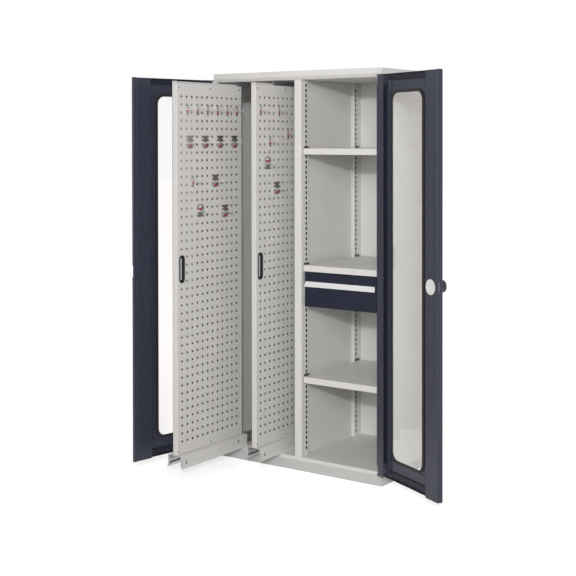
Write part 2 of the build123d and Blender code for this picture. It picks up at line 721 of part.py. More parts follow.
for name, hand, opening in (("left_door", -1, LEFT_OPEN), ("right_door", 1, RIGHT_OPEN)):
    angle = radians(opening)
    along = (-hand * cos(angle), -sin(angle), 0)
    plan = Plane(origin=(hand * PIVOT_X, PIVOT_Y, 0), x_dir=along, z_dir=(0, 0, 1))
    outwards = Vector(*plan.y_dir) * hand

    def at(s, t, hand=hand):
        """Point of the leaf in the plan sketch."""
        return (s + PIVOT_OUT, hand * (t - PIVOT_IN))

    def box(s_from, s_to, t_from, t_to, hand=hand):
        """Rectangle of the leaf in the active plan sketch."""
        with Locations(at((s_from + s_to) / 2, (t_from + t_to) / 2, hand)):
            Rectangle(s_to - s_from, t_to - t_from)

    def face(t, plan=plan, outwards=outwards, hand=hand):
        """Upright plane at depth t with the outside as its normal; x runs to the free edge."""
        origin = plan.origin + outwards * (t - PIVOT_IN)
        return Plane(origin=origin, x_dir=plan.x_dir, z_dir=outwards * -hand)

    def depth(amount, hand=hand):
        """Signed extrusion towards the outside of the leaf."""
        return -hand * amount

    fold_side = Side.LEFT if hand < 0 else Side.RIGHT
    skin_inside = DOOR_THICKNESS - DOOR_SHEET
    inner_height = DOOR_HEIGHT - 2 * DOOR_SHEET

    # shell: one folded pan with end flanges, a window and hinge notches
    with BuildPart() as shell:
        with BuildSketch(plan.offset(DOOR_BOTTOM)):
            add(
                folded(
                    [
                        at(HINGE_LIP, 0),
                        at(0, 0),
                        at(0, DOOR_THICKNESS),
                        at(DOOR_WIDTH, DOOR_THICKNESS),
                        at(DOOR_WIDTH, 0),
                    ],
                    DOOR_SHEET,
                    fold_side,
                )
            )
        extrude(amount=DOOR_HEIGHT)
        for level in (DOOR_BOTTOM, DOOR_TOP - DOOR_SHEET):
            with BuildSketch(plan.offset(level)):
                box(DOOR_SHEET, DOOR_WIDTH - DOOR_SHEET, skin_inside - DOOR_END_FLANGE, skin_inside)
            extrude(amount=DOOR_SHEET)
        with BuildSketch(face(skin_inside)):
            window_outline(GASKET_WIDTH / 2)
        extrude(amount=depth(DOOR_SHEET), mode=Mode.SUBTRACT)
        for level in HINGE_LEVELS:
            with BuildSketch(plan.offset(level - NOTCH_HEIGHT / 2)):
                box(0, NOTCH_WIDTH, 0, skin_inside)
            extrude(amount=NOTCH_HEIGHT, mode=Mode.SUBTRACT)
        if hand > 0:
            with BuildSketch(plan.offset(LOCK_Z - BOLT_SLOT_HEIGHT / 2)):
                box(
                    DOOR_WIDTH - DOOR_SHEET,
                    DOOR_WIDTH,
                    BOLT_T - BOLT_THICKNESS / 2 - RUN,
                    BOLT_T + BOLT_THICKNESS / 2 + RUN,
                )
            extrude(amount=BOLT_SLOT_HEIGHT, mode=Mode.SUBTRACT)
            with BuildSketch(face(skin_inside)):
                with Locations((LOCK_S + PIVOT_OUT, LOCK_Z)):
                    Circle(SPINDLE_RADIUS + TOUCH)
            extrude(amount=depth(DOOR_SHEET), mode=Mode.SUBTRACT)
    save(shell, f"{name}_shell")

    # gasket: a ring on the skin that grips the pane
    pane_t = skin_inside - (GASKET_HEIGHT + PANE_THICKNESS) / 2
    with BuildPart() as gasket:
        with BuildSketch(face(skin_inside - GASKET_HEIGHT)):
            window_outline(GASKET_WIDTH)
        extrude(amount=depth(GASKET_HEIGHT))
        with BuildSketch(face(skin_inside)):
            window_outline(GASKET_WIDTH / 2 - TOUCH)
        extrude(amount=depth(DOOR_SHEET))
        with BuildSketch(face(0)):
            window_outline(0)
        extrude(amount=depth(DOOR_THICKNESS), mode=Mode.SUBTRACT)
        with BuildSketch(face(pane_t)):
            window_outline(GASKET_BITE + TOUCH)
        extrude(amount=depth(PANE_THICKNESS), mode=Mode.SUBTRACT)
    save(gasket, f"{name}_gasket")

    with BuildPart() as pane:
        with BuildSketch(face(pane_t)):
            window_outline(GASKET_BITE)
        extrude(amount=depth(PANE_THICKNESS))
    save(pane, f"{name}_pane")

    # stiffening: a rib beside the hinge lip and a plate above and below the window
    with BuildPart() as inner_frame:
        cross_start = RIB_START + RIB_WIDTH
        lower_cross = WINDOW_BOTTOM - GASKET_WIDTH - TOUCH - CROSS_HEIGHT
        with BuildSketch(plan.offset(lower_cross)):
            box(RIB_START, cross_start, skin_inside - RIB_HEIGHT, skin_inside)
        extrude(amount=WINDOW_TOP + WINDOW_BOTTOM - 2 * lower_cross)
        for level in (lower_cross, WINDOW_TOP + GASKET_WIDTH + TOUCH):
            with BuildSketch(plan.offset(level)):
                box(cross_start, LOCK_STILE_START, skin_inside - CROSS_THICKNESS, skin_inside)
            extrude(amount=CROSS_HEIGHT)
    save(inner_frame, f"{name}_inner_frame")

    # lock stile: a folded channel that closes the free side of the leaf
    with BuildPart() as lock_stile:
        with BuildSketch(plan.offset(DOOR_BOTTOM + DOOR_SHEET)):
            add(
                folded(
                    [
                        at(LOCK_STILE_START, skin_inside),
                        at(LOCK_STILE_START, 0),
                        at(LOCK_STILE_END, 0),
                        at(LOCK_STILE_END, skin_inside),
                    ],
                    DOOR_SHEET,
                    Side.RIGHT if hand < 0 else Side.LEFT,
                )
            )
        extrude(amount=inner_height)
        if hand > 0:
            with BuildSketch(plan.offset(LOCK_Z - BOLT_SLOT_HEIGHT / 2)):
                box(
                    LOCK_STILE_END - DOOR_SHEET,
                    LOCK_STILE_END,
                    BOLT_T - BOLT_THICKNESS / 2 - RUN,
                    BOLT_T + BOLT_THICKNESS / 2 + RUN,
                )
            extrude(amount=BOLT_SLOT_HEIGHT, mode=Mode.SUBTRACT)
    save(lock_stile, f"{name}_lock_stile")

    # hinge leaves: a plate on the skin with an eye that sits on the bracket's eye
    with BuildPart() as hinge_leaves:
        plate_t = skin_inside - LEAF_PLATE
        for level in HINGE_LEVELS:
            with BuildSketch(plan.offset(level - LEAF_PLATE_HEIGHT / 2)):
                box(NOTCH_WIDTH, NOTCH_WIDTH + LEAF_PLATE_WIDTH, plate_t, skin_inside)
            extrude(amount=LEAF_PLATE_HEIGHT)
            with BuildSketch(plan.offset(level + EYE_GAP)):
                Circle(EYE_RADIUS)
                box(NOTCH_WIDTH, NOTCH_WIDTH + EYE_RADIUS, plate_t - EYE_RADIUS, plate_t)
                make_hull()
                Circle(PIN_RADIUS + PIN_RUN, mode=Mode.SUBTRACT)
            extrude(amount=EYE_HEIGHT)
    save(hinge_leaves, f"{name}_hinge_leaves")

    if hand < 0:
        # meeting strip: a rebate that the other leaf closes against
        with BuildPart() as meeting_strip:
            with BuildSketch(plan.offset(DOOR_BOTTOM)):
                box(DOOR_WIDTH, DOOR_WIDTH + STRIP_WIDTH, 0, STRIP_THICKNESS)
            extrude(amount=DOOR_HEIGHT)
            with BuildSketch(plan.offset(LOCK_Z - BOLT_SLOT_HEIGHT / 2)):
                box(
                    DOOR_WIDTH + DOOR_SHEET,
                    DOOR_WIDTH + STRIP_WIDTH,
                    BOLT_T - BOLT_THICKNESS / 2 - RUN,
                    STRIP_THICKNESS,
                )
            extrude(amount=BOLT_SLOT_HEIGHT, mode=Mode.SUBTRACT)
        save(meeting_strip, f"{name}_meeting_strip")
    else:
        # lock: cover disc, knob with its spindle, sliding bolt
        lock_centre = (LOCK_S + PIVOT_OUT, LOCK_Z)
        with BuildPart() as cover:
            with BuildSketch(face(0)):
                with Locations(lock_centre):
                    Circle(COVER_RADIUS)
            extrude(amount=depth(-COVER_PROUD))
        save(cover, "lock_cover")

        with BuildPart() as knob:
            with BuildSketch(face(DOOR_THICKNESS + TOUCH)):
                with Locations(lock_centre):
                    Circle(KNOB_RADIUS)
            extrude(amount=depth(KNOB_PROUD - TOUCH))
            with BuildSketch(face(BOLT_T - BOLT_THICKNESS)):
                with Locations(lock_centre):
                    Circle(SPINDLE_RADIUS)
            extrude(amount=depth(DOOR_THICKNESS + TOUCH - BOLT_T + BOLT_THICKNESS))
        save(knob, "lock_knob")

        with BuildPart() as bolt:
            with BuildSketch(face(BOLT_T - BOLT_THICKNESS / 2)):
                with Locations((LOCK_STILE_END - BOLT_LENGTH / 2 + PIVOT_OUT, LOCK_Z)):
                    Rectangle(BOLT_LENGTH, BOLT_HEIGHT)
                with Locations((lock_centre[0] - BOLT_THROW / 2, LOCK_Z)):
                    SlotCenterToCenter(BOLT_THROW, 2 * (SPINDLE_RADIUS + TOUCH), mode=Mode.SUBTRACT)
            extrude(amount=depth(BOLT_THICKNESS))
        save(bolt, "lock_bolt")

# ---------------------------------------------------------------------------
# Carcass side of the hinges
# ---------------------------------------------------------------------------
with BuildPart() as hinge_brackets:
    for hand in (-1, 1):
        for level in HINGE_LEVELS:
            plate_x = hand * (STILE + BRACKET_PLATE_WIDTH / 2 + BRACKET_PLATE_INSET)
            with BuildSketch(Plane.XY.offset(level - BRACKET_PLATE_HEIGHT / 2)):
                with Locations((plate_x, FRONT - SHEET / 2)):
                    Rectangle(BRACKET_PLATE_WIDTH, SHEET)
            extrude(amount=BRACKET_PLATE_HEIGHT)
            with BuildSketch(Plane.XY.offset(level - EYE_HEIGHT)):
                with Locations((hand * PIVOT_X, PIVOT_Y)):
                    Circle(EYE_RADIUS)
                with Locations((hand * PIVOT_X, (PIVOT_Y + FRONT) / 2)):
                    Rectangle(BRACKET_ARM_WIDTH, FRONT - PIVOT_Y)
            extrude(amount=EYE_HEIGHT)
save(hinge_brackets, "hinge_brackets")

# pins: each stands on the boss of its bracket, and the leaf's eye is set down over it
with BuildPart() as hinge_pins:
    for level in HINGE_LEVELS:
        with BuildSketch(Plane.XY.offset(level)):
            with Locations((-PIVOT_X, PIVOT_Y), (PIVOT_X, PIVOT_Y)):
                Circle(PIN_RADIUS)
        extrude(amount=EYE_GAP + EYE_HEIGHT + PIN_HEAD)
save(hinge_pins, "hinge_pins")

# ---------------------------------------------------------------------------
# Drawer under the middle shelf, on telescopic rails
# ---------------------------------------------------------------------------
DRAWER_WIDTH_RAIL, DRAWER_RAIL_DEPTH, DRAWER_RAIL_WALL, DRAWER_RAIL_LIP = DRAWER_RAIL
DRAWER_SPAN = 2 * DRAWER_RAIL_DEPTH + RAIL_GAP
DRAWER_SIDES = ((POST_RIGHT, "right", "left", 1), (UPRIGHT_FACE, "left", "right", -1))
DRAWER_FRONT_Y = FRONT + SHELF_SETBACK
DRAWER_CENTRE_X = (POST_RIGHT + UPRIGHT_FACE) / 2
DRAWER_FRONT_WIDTH = UPRIGHT_FACE - POST_RIGHT - 2 * DRAWER_FRONT_GAP
DRAWER_BOX_WIDTH = UPRIGHT_FACE - POST_RIGHT - 2 * DRAWER_SPAN
DRAWER_BOX_Z = DRAWER_FRONT_TOP - DRAWER_FRONT_HEIGHT + DRAWER_BOX_LIFT
DRAWER_BOX_CENTRE = (DRAWER_CENTRE_X, DRAWER_FRONT_Y + DRAWER_FRONT_DEPTH + DRAWER_BOX_DEPTH / 2)
DRAWER_RAIL_BACK = DRAWER_FRONT_Y + DRAWER_FRONT_DEPTH + DRAWER_BOX_DEPTH

with BuildPart() as drawer_cabinet_rails:
    for face_x, towards_drawer, _, _ in DRAWER_SIDES:
        with BuildSketch(run_plane(face_x, DRAWER_RAIL_Z, DRAWER_RAIL_BACK, towards_drawer)):
            add(channel(*DRAWER_RAIL))
    extrude(amount=DRAWER_BOX_DEPTH)
save(drawer_cabinet_rails, "drawer_cabinet_rails")

with BuildPart() as drawer_slides:
    for face_x, _, towards_cabinet, inwards in DRAWER_SIDES:
        side_x = face_x + inwards * DRAWER_SPAN
        with BuildSketch(run_plane(side_x, DRAWER_RAIL_Z, DRAWER_RAIL_BACK, towards_cabinet)):
            add(channel(*DRAWER_RAIL))
    extrude(amount=DRAWER_BOX_DEPTH)
save(drawer_slides, "drawer_slides")

with BuildPart() as drawer_mid_slides:
    for face_x, towards_drawer, _, _ in DRAWER_SIDES:
        with BuildSketch(run_plane(face_x, DRAWER_RAIL_Z, DRAWER_RAIL_BACK, towards_drawer)):
            add(runner(DRAWER_WIDTH_RAIL, DRAWER_RAIL_DEPTH, DRAWER_RAIL_WALL, DRAWER_SPAN, DRAWER_WEB))
    extrude(amount=DRAWER_BOX_DEPTH)
save(drawer_mid_slides, "drawer_mid_slides")

with BuildPart() as drawer_box:
    with BuildSketch(Plane.XY.offset(DRAWER_BOX_Z)):
        with Locations(DRAWER_BOX_CENTRE):
            Rectangle(DRAWER_BOX_WIDTH, DRAWER_BOX_DEPTH)
    extrude(amount=DRAWER_BOX_HEIGHT)
    with BuildSketch(Plane.XY.offset(DRAWER_BOX_Z + DRAWER_SHEET)):
        with Locations(DRAWER_BOX_CENTRE):
            Rectangle(DRAWER_BOX_WIDTH - 2 * DRAWER_SHEET, DRAWER_BOX_DEPTH - 2 * DRAWER_SHEET)
    extrude(amount=DRAWER_BOX_HEIGHT, mode=Mode.SUBTRACT)
save(drawer_box, "drawer_box")

with BuildPart() as drawer_front:
    with BuildSketch(Plane.XY.offset(DRAWER_FRONT_TOP - DRAWER_FRONT_HEIGHT)):
        with Locations((DRAWER_CENTRE_X, DRAWER_FRONT_Y + DRAWER_FRONT_DEPTH / 2)):
            Rectangle(DRAWER_FRONT_WIDTH, DRAWER_FRONT_DEPTH)
    extrude(amount=DRAWER_FRONT_HEIGHT)
save(drawer_front, "drawer_front")

# handle: a folded strip that leans out from the front and ends in a grip edge
with BuildPart() as drawer_handle:
    grip_y = DRAWER_FRONT_Y - HANDLE_PROUD
    half_width = DRAWER_FRONT_WIDTH / 2
    with BuildSketch(Plane(origin=(DRAWER_CENTRE_X, 0, 0), x_dir=(0, 1, 0), z_dir=(1, 0, 0))):
        add(
            folded(
                [
                    (DRAWER_FRONT_Y, HANDLE_TOP - HANDLE_FLANGE),
                    (DRAWER_FRONT_Y, HANDLE_TOP),
                    (grip_y, HANDLE_TOP - HANDLE_HEIGHT + HANDLE_EDGE),
                    (grip_y, HANDLE_TOP - HANDLE_HEIGHT),
                ],
                DRAWER_SHEET,
            )
        )
    extrude(amount=half_width, both=True)
    with BuildSketch(run_plane(DRAWER_CENTRE_X, HANDLE_TOP, DRAWER_FRONT_Y, "up")):
        for end in (-half_width, half_width):
            lean = HANDLE_MITRE if end < 0 else -HANDLE_MITRE
            with BuildLine():
                Polyline((end, 0), (end + lean, 0), (end, -HANDLE_HEIGHT), close=True)
            make_face()
    extrude(amount=HANDLE_PROUD, mode=Mode.SUBTRACT)
save(drawer_handle, "drawer_handle")
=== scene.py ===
from math import cos, pi, radians, sin

import bmesh
import bpy
from mathutils import Matrix, Vector


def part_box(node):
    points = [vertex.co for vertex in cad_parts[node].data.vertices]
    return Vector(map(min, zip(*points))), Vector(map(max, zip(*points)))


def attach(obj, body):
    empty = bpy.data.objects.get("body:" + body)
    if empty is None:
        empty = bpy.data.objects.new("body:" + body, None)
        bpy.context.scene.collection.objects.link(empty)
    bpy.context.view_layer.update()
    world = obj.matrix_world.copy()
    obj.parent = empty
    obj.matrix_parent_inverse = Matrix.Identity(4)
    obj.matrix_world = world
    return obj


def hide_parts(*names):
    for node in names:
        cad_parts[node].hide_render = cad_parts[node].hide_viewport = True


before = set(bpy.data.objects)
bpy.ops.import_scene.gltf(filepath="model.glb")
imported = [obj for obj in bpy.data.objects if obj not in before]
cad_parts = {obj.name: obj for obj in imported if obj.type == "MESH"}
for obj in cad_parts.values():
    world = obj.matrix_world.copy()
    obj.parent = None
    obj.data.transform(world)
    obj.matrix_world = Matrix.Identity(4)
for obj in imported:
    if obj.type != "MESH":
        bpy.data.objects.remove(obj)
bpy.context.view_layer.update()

# ---------------------------------------------------------------------------
# Camera: a long lens a little above eye height, off the front right corner,
# shifted so that the upright edges of the cabinet stay upright.
# ---------------------------------------------------------------------------
PICTURE = 576
FOCAL_PIXELS = 1153.9
AXIS_PIXEL = (308.0, 152.2)
SENSOR = 36.0
CAMERA_PLACE = (3.243, -4.889, 1.621)
LOOK_DOWN, ROLL, TURN = 0.683, 0.071, 34.44  # degrees

camera_data = bpy.data.cameras.new("Camera")
camera_data.sensor_width = SENSOR
camera_data.lens = FOCAL_PIXELS / PICTURE * SENSOR
camera_data.shift_x = 0.5 - AXIS_PIXEL[0] / PICTURE
camera_data.shift_y = AXIS_PIXEL[1] / PICTURE - 0.5
camera = bpy.data.objects.new("Camera", camera_data)
camera.location = CAMERA_PLACE
camera.rotation_euler = (radians(90 - LOOK_DOWN), radians(ROLL), radians(TURN))
bpy.context.scene.collection.objects.link(camera)
bpy.context.scene.camera = camera

# ---------------------------------------------------------------------------
# Studio: a white floor that runs to a white surround and keeps the cabinet's
# shadow, a small lamp off the front right, a wide soft one beside it, and even
# light from all round.
# ---------------------------------------------------------------------------
EVEN_LIGHT, EVEN_LIGHT_STRENGTH = (1.0, 0.93, 0.915), 0.42
FLOOR_REACH = 30.0
# the glow is weaker near the cabinet, which paints the floor round its base darker so that its
# shadow shows
FLOOR_GLOW_NEAR, FLOOR_GLOW_FAR = 0.55, 0.68  # strength, at these distances from the cabinet:
GLOW_STARTS, GLOW_ENDS = 0.8, 3.5
LAMP_AIM = (0, 0, 1.1)

scene = bpy.context.scene
scene.view_settings.view_transform = "Standard"


def new_material(name):
    """Empty node material, its node tree and its output node."""
    material = bpy.data.materials.new(name)
    material.use_nodes = True
    tree = material.node_tree
    tree.nodes.clear()
    return material, tree, tree.nodes.new("ShaderNodeOutputMaterial")


world = bpy.data.worlds.new("Studio")
world.use_nodes = True
scene.world = world
tree = world.node_tree
tree.nodes.clear()
surround = tree.nodes.new("ShaderNodeOutputWorld")
seen_white = tree.nodes.new("ShaderNodeBackground")
seen_white.inputs["Color"].default_value = (1, 1, 1, 1)
seen_white.inputs["Strength"].default_value = 1.0
even_light = tree.nodes.new("ShaderNodeBackground")
even_light.inputs["Color"].default_value = (*EVEN_LIGHT, 1)
even_light.inputs["Strength"].default_value = EVEN_LIGHT_STRENGTH
rays = tree.nodes.new("ShaderNodeLightPath")
seen = tree.nodes.new("ShaderNodeMath")
seen.operation = "MAXIMUM"
seen_clear = tree.nodes.new("ShaderNodeMath")
seen_clear.operation = "MAXIMUM"
choose = tree.nodes.new("ShaderNodeMixShader")
tree.links.new(rays.outputs["Is Camera Ray"], seen.inputs[0])
tree.links.new(rays.outputs["Is Glossy Ray"], seen.inputs[1])
tree.links.new(seen.outputs[0], seen_clear.inputs[0])
tree.links.new(rays.outputs["Is Transmission Ray"], seen_clear.inputs[1])
tree.links.new(seen_clear.outputs[0], choose.inputs["Fac"])
tree.links.new(even_light.outputs[0], choose.inputs[1])
tree.links.new(seen_white.outputs[0], choose.inputs[2])
tree.links.new(choose.outputs[0], surround.inputs["Surface"])

floor_mesh = bpy.data.meshes.new("Studio_floor")
corners = ((-1, -1), (1, -1), (1, 1), (-1, 1))
floor_mesh.from_pydata(
    [(x * FLOOR_REACH, y * FLOOR_REACH, 0) for x, y in corners], [], [(0, 1, 2, 3)]
)
floor = bpy.data.objects.new("Studio_floor", floor_mesh)
scene.collection.objects.link(floor)
floor_paint, tree, output = new_material("Studio_floor_paint")
matt = tree.nodes.new("ShaderNodeBsdfDiffuse")
matt.inputs["Color"].default_value = (0.60, 0.60, 0.60, 1)
pale = tree.nodes.new("ShaderNodeBsdfDiffuse")
pale.inputs["Color"].default_value = (0.90, 0.90, 0.90, 1)
glow = tree.nodes.new("ShaderNodeEmission")
place = tree.nodes.new("ShaderNodeTexCoord")
away = tree.nodes.new("ShaderNodeVectorMath")
away.operation = "LENGTH"
fade = tree.nodes.new("ShaderNodeMapRange")
fade.inputs["From Min"].default_value = GLOW_STARTS
fade.inputs["From Max"].default_value = GLOW_ENDS
fade.inputs["To Min"].default_value = FLOOR_GLOW_NEAR
fade.inputs["To Max"].default_value = FLOOR_GLOW_FAR
both = tree.nodes.new("ShaderNodeAddShader")
rays = tree.nodes.new("ShaderNodeLightPath")
choose = tree.nodes.new("ShaderNodeMixShader")
tree.links.new(place.outputs["Object"], away.inputs[0])
tree.links.new(away.outputs["Value"], fade.inputs["Value"])
tree.links.new(fade.outputs["Result"], glow.inputs["Strength"])
tree.links.new(pale.outputs[0], both.inputs[0])
tree.links.new(glow.outputs[0], both.inputs[1])
tree.links.new(rays.outputs["Is Diffuse Ray"], choose.inputs["Fac"])
tree.links.new(both.outputs[0], choose.inputs[1])
tree.links.new(matt.outputs[0], choose.inputs[2])
tree.links.new(choose.outputs[0], output.inputs["Surface"])
floor_mesh.materials.append(floor_paint)


def lamp(name, place, size, energy, colour):
    """Square lamp that faces the cabinet."""
    data = bpy.data.lights.new(name, "AREA")
    data.shape = "SQUARE"
    data.size = size
    data.energy = energy
    data.color = colour
    stand = bpy.data.objects.new(name, data)
    stand.location = place
    aim = Vector(LAMP_AIM) - stand.location
    stand.rotation_euler = aim.to_track_quat("-Z", "Y").to_euler()
    scene.collection.objects.link(stand)


lamp("Key", (4.0, -6.2, 2.75), 0.25, 165, (0.91, 1.0, 0.985))
lamp("Fill", (3.9, -6.0, 3.1), 2.4, 205, (1.0, 0.91, 0.89))

# ---------------------------------------------------------------------------
# Carcass: welded sheet steel, folded at the edges, light grey powder coat with
# a fine orange peel.  Side panels, lid, ceiling, floor, back and plinth.  The back
# is painted paler (painted light), the ceiling and plinth darker (painted shade).
# ---------------------------------------------------------------------------
CARCASS_GREY = (0.665, 0.665, 0.650)
# paler grey on the back panel: painted light, standing in for light that the lamps don't bring
BACK_PAINTED_LIGHT_GREY = (0.74, 0.74, 0.722)
# darker grey for the ceiling and plinth: painted shade
PAINTED_SHADE_GREY = (0.53, 0.53, 0.525)
EDGE_RUB, RUBBED_PALER = 0.0025, 0.28


def noise(tree, source, scale, detail=2.0):
    """Soft noise over the coordinates that come from source."""
    texture = tree.nodes.new("ShaderNodeTexNoise")
    texture.inputs["Scale"].default_value = scale
    texture.inputs["Detail"].default_value = detail
    tree.links.new(source, texture.inputs["Vector"])
    return texture.outputs["Fac"]


def two_shades(tree, factor, colour, darker, paler):
    """Colour that drifts between a darker and a paler share of itself."""
    shade = tree.nodes.new("ShaderNodeMix")
    shade.data_type = "RGBA"
    shade.inputs[6].default_value = (*[c * darker for c in colour], 1)
    shade.inputs[7].default_value = (*[min(1.0, c * paler) for c in colour], 1)
    tree.links.new(factor, shade.inputs["Factor"])
    return shade.outputs[2]


def spread(tree, value, low, high):
    """Value from 0 to 1, spread from low to high."""
    span = tree.nodes.new("ShaderNodeMapRange")
    span.inputs["To Min"].default_value = low
    span.inputs["To Max"].default_value = high
    tree.links.new(value, span.inputs["Value"])
    return span.outputs["Result"]


def relief(tree, height, strength, depth):
    """Fine bump, as its node."""
    bump = tree.nodes.new("ShaderNodeBump")
    bump.inputs["Strength"].default_value = strength
    bump.inputs["Distance"].default_value = depth
    tree.links.new(height, bump.inputs["Height"])
    return bump


def powder_coat(name, colour, roughness, peel=0.12, gloss=0.5):
    """Baked powder paint: cloudy by a few percent, orange peel, paler where edges rub."""
    material, tree, output = new_material(name)
    paint = tree.nodes.new("ShaderNodeBsdfPrincipled")
    paint.inputs["Specular IOR Level"].default_value = gloss
    place = tree.nodes.new("ShaderNodeTexCoord").outputs["Object"]
    cloudy = two_shades(tree, noise(tree, place, 5.0, 4.0), colour, 0.955, 1.045)

    # rubbed edges: where the rounded normal leaves the true one
    rounded = tree.nodes.new("ShaderNodeBevel")
    rounded.samples = 4
    rounded.inputs["Radius"].default_value = EDGE_RUB
    true_face = tree.nodes.new("ShaderNodeNewGeometry")
    along = tree.nodes.new("ShaderNodeVectorMath")
    along.operation = "DOT_PRODUCT"
    rub = tree.nodes.new("ShaderNodeMapRange")
    rub.inputs["From Min"].default_value = 0.99
    rub.inputs["From Max"].default_value = 0.75
    rub.inputs["To Max"].default_value = 0.35
    rubbed = tree.nodes.new("ShaderNodeMix")
    rubbed.data_type = "RGBA"
    rubbed.inputs[7].default_value = (*[c + (1 - c) * RUBBED_PALER for c in colour], 1)
    tree.links.new(rounded.outputs[0], along.inputs[0])
    tree.links.new(true_face.outputs["Normal"], along.inputs[1])
    tree.links.new(along.outputs["Value"], rub.inputs["Value"])
    tree.links.new(rub.outputs["Result"], rubbed.inputs["Factor"])
    tree.links.new(cloudy, rubbed.inputs[6])
    tree.links.new(rubbed.outputs[2], paint.inputs["Base Color"])

    # sheen varies where hands and cloths have been
    smears = noise(tree, place, 11.0, 5.0)
    sheen = spread(tree, smears, roughness - 0.05, roughness + 0.08)
    tree.links.new(sheen, paint.inputs["Roughness"])

    skin = relief(tree, noise(tree, place, 420.0), peel, 0.0006)
    tree.links.new(rounded.outputs[0], skin.inputs["Normal"])
    tree.links.new(skin.outputs["Normal"], paint.inputs["Normal"])
    tree.links.new(paint.outputs[0], output.inputs["Surface"])
    return material


def finish_nodes(material, *nodes):
    """Gives CAD nodes their finish."""
    for node in nodes:
        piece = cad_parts[node]
        if not piece.material_slots:
            piece.data.materials.append(material)
        for slot in piece.material_slots:
            slot.material = material


carcass_coat = powder_coat("Carcass_grey_coat", CARCASS_GREY, 0.42)
painted_light_back_coat = powder_coat("Back_painted_light_coat", BACK_PAINTED_LIGHT_GREY, 0.42)
painted_shade_coat = powder_coat("Painted_shade_grey_coat", PAINTED_SHADE_GREY, 0.42)
finish_nodes(carcass_coat, "side_left", "side_right", "lid", "floor_pan")
# back panel: the paler coat, painted light
finish_nodes(painted_light_back_coat, "back_panel")
# ceiling and plinth: the darker coat, painted shade
finish_nodes(painted_shade_coat, "ceiling_pan", "plinth")

# ---------------------------------------------------------------------------
# Slotted posts: the divider's two posts and the two uprights on the right
# wall, folded from pierced strip, with a slot every 25 mm for shelf clips.
# ---------------------------------------------------------------------------
SHEET, FOLD = 0.0015, 0.002
SAME_PLACE = 1e-5
SLOT_PITCH = 0.025
SLOT_WIDTH, SLOT_HEIGHT = 0.012, 0.016
SLOTS = 72
FRONT_LOWEST, REAR_LOWEST = 0.105, 0.0925
FRONT_POST_SLOT, REAR_POST_SLOT = 0.044, 0.014  # from the post's front


def finished_piece(name, bm):
    """Piece in the scene, from mesh data that is done with."""
    mesh = bpy.data.meshes.new(name)
    bm.to_mesh(mesh)
    bm.free()
    piece = bpy.data.objects.new(name, mesh)
    scene.collection.objects.link(piece)
    return piece


def round_folds(piece, radius, sharper_than):
    """Bending radius on every fold."""
    folds = piece.modifiers.new("Folds", "BEVEL")
    folds.width = radius
    folds.segments = 3
    folds.limit_method = "ANGLE"
    folds.angle_limit = radians(sharper_than)


def thicken(piece, gauge, offset=-1):
    """Gives a sheet its gauge, by default on its inner side."""
    gauge_of_sheet = piece.modifiers.new("Gauge", "SOLIDIFY")
    gauge_of_sheet.thickness = gauge
    gauge_of_sheet.offset = offset
    return gauge_of_sheet


def pierced_sheet(name, plan, low, high, openings, fold=FOLD, foot=0.0, paint_inner_shade=True):
    """Sheet folded on upright lines, with a near-black painted shade on its inner side unless
    paint_inner_shade is off.  plan is its outer line from above, with the outside on the right
    hand; openings are (from, to, low, high), measured along that line; foot is the width of a
    flange turned in along its lower edge."""
    points = [Vector(p) for p in plan]
    marks = [0.0]
    for start, end in zip(points, points[1:]):
        marks.append(marks[-1] + (end - start).length)
    cut_u = sorted({round(u, 6) for u in marks} | {round(u, 6) for o in openings for u in o[:2]})
    cut_z = sorted(
        {round(z, 6) for z in (low, high)} | {round(z, 6) for o in openings for z in o[2:]}
    )
    u_index = {u: i for i, u in enumerate(cut_u)}
    z_index = {z: i for i, z in enumerate(cut_z)}
    pierced = set()
    for left, right, bottom, top in openings:
        for i in range(u_index[round(left, 6)], u_index[round(right, 6)]):
            for j in range(z_index[round(bottom, 6)], z_index[round(top, 6)]):
                pierced.add((i, j))

    def on_plan(u):
        for k in range(len(points) - 1):
            if u <= marks[k + 1] + 1e-6:
                share = (u - marks[k]) / (marks[k + 1] - marks[k])
                return points[k].lerp(points[k + 1], share)
        return points[-1]

    bm = bmesh.new()
    verts = {}

    def vert(i, j):
        if (i, j) not in verts:
            verts[i, j] = bm.verts.new((*on_plan(cut_u[i]), cut_z[j]))
        return verts[i, j]

    for i in range(len(cut_u) - 1):
        for j in range(len(cut_z) - 1):
            if (i, j) not in pierced:
                bm.faces.new((vert(i, j), vert(i + 1, j), vert(i + 1, j + 1), vert(i, j + 1)))
    if foot:
        x_face = points[1].x
        rims = [
            e for e in bm.edges
            if e.is_boundary and all(
                abs(v.co.x - x_face) < SAME_PLACE and abs(v.co.z - low) < SAME_PLACE
                for v in e.verts
            )
        ]
        turned = bmesh.ops.extrude_edge_only(bm, edges=rims)["geom"]
        moved = [v for v in turned if isinstance(v, bmesh.types.BMVert)]
        bmesh.ops.translate(bm, verts=moved, vec=(-foot, 0, 0))
    piece = finished_piece(name, bm)
    if fold:
        round_folds(piece, fold, 40)
    gauge_of_sheet = thicken(piece, SHEET)
    # inner faces and rims take the second finish, a near-black painted shade
    if paint_inner_shade:
        gauge_of_sheet.material_offset = 1
        gauge_of_sheet.material_offset_rim = 1
    return piece


def slot_column(middle, lowest):
    """Openings of one column of slots, round a line at middle."""
    return [
        (middle - SLOT_WIDTH / 2, middle + SLOT_WIDTH / 2, z - SLOT_HEIGHT / 2, z + SLOT_HEIGHT / 2)
        for z in (lowest + k * SLOT_PITCH for k in range(SLOTS))
    ]


def dress(piece, material, body, slot, *nodes, inside=None):
    """Finish of a piece, the body that it rides on, and the CAD nodes that it stands for."""
    piece.data.materials.append(material)
    if inside:
        piece.data.materials.append(inside)
    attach(piece, body)
    if nodes:
        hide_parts(*nodes)
    return piece
